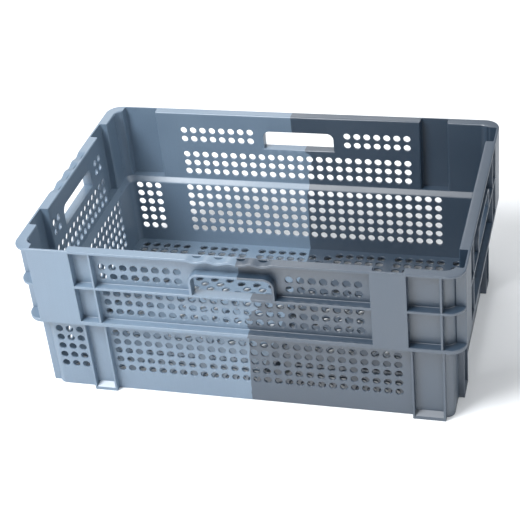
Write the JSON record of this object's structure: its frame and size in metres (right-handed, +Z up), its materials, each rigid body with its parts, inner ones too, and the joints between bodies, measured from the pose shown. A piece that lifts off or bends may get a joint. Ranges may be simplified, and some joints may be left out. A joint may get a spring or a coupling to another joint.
{
  "type": "stacking storage crate",
  "caption": "Rectangular two-colour perforated plastic crate with hand holes, flanged walls and offset pockets and feet: it stacks the same way round and nests when turned half a turn.",
  "frame": {"origin": "centre of the outside box in plan, on the plane the feet stand on", "axes": "+X along the long side towards the dark half, +Y towards the back long side, +Z up"},
  "size_m": [0.6, 0.4, 0.24],
  "materials": {
    "light_shot": "matte, fine moulded grain",
    "dark_shot": "matte, fine moulded grain"
  },
  "bodies": {
    "root": {"back_handle_panel_dark": "dark_shot", "back_handle_panel_light": "light_shot", "back_lower_wall_dark": "dark_shot", "back_lower_wall_light": "light_shot", "back_mid_flange_dark": "dark_shot", "back_mid_flange_light": "light_shot", "back_pocket_dark": "dark_shot", "back_pocket_light": "light_shot", "back_rim_dark": "dark_shot", "back_rim_light": "light_shot", "back_shoulder_dark": "dark_shot", "back_shoulder_light": "light_shot", "back_upper_wall_dark": "dark_shot", "back_upper_wall_light": "light_shot", "corner_flanges_dark": "dark_shot", "corner_flanges_light": "light_shot", "corner_walls_dark": "dark_shot", "corner_walls_light": "light_shot", "end_feet_dark": "dark_shot", "end_feet_light": "light_shot", "floor_dark": "dark_shot", "floor_light": "light_shot", "floor_ribs_dark": "dark_shot", "floor_ribs_light": "light_shot", "front_handle_panel_dark": "dark_shot", "front_handle_panel_light": "light_shot", "front_lower_wall_dark": "dark_shot", "front_lower_wall_light": "light_shot", "front_mid_flange_dark": "dark_shot", "front_mid_flange_light": "light_shot", "front_pocket_dark": "dark_shot", "front_pocket_light": "light_shot", "front_rim_dark": "dark_shot", "front_rim_light": "light_shot", "front_shoulder_dark": "dark_shot", "front_shoulder_light": "light_shot", "front_upper_wall_dark": "dark_shot", "front_upper_wall_light": "light_shot", "left_end_back_pocket": "light_shot", "left_end_front_pocket": "light_shot", "left_handle_panel": "light_shot", "left_lower_wall": "light_shot", "left_mid_flange": "light_shot", "left_rim": "light_shot", "left_shoulder": "light_shot", "left_upper_wall": "light_shot", "lower_corners_dark": "dark_shot", "lower_corners_light": "light_shot", "right_end_back_pocket": "dark_shot", "right_end_front_pocket": "dark_shot", "right_handle_panel": "dark_shot", "right_lower_wall": "dark_shot", "right_mid_flange": "dark_shot", "right_rim": "dark_shot", "right_shoulder": "dark_shot", "right_upper_wall": "dark_shot", "side_feet_dark": "dark_shot", "side_feet_light": "light_shot", "upper_ribs_dark": "dark_shot", "upper_ribs_light": "light_shot"}
  },
  "joints": []
}
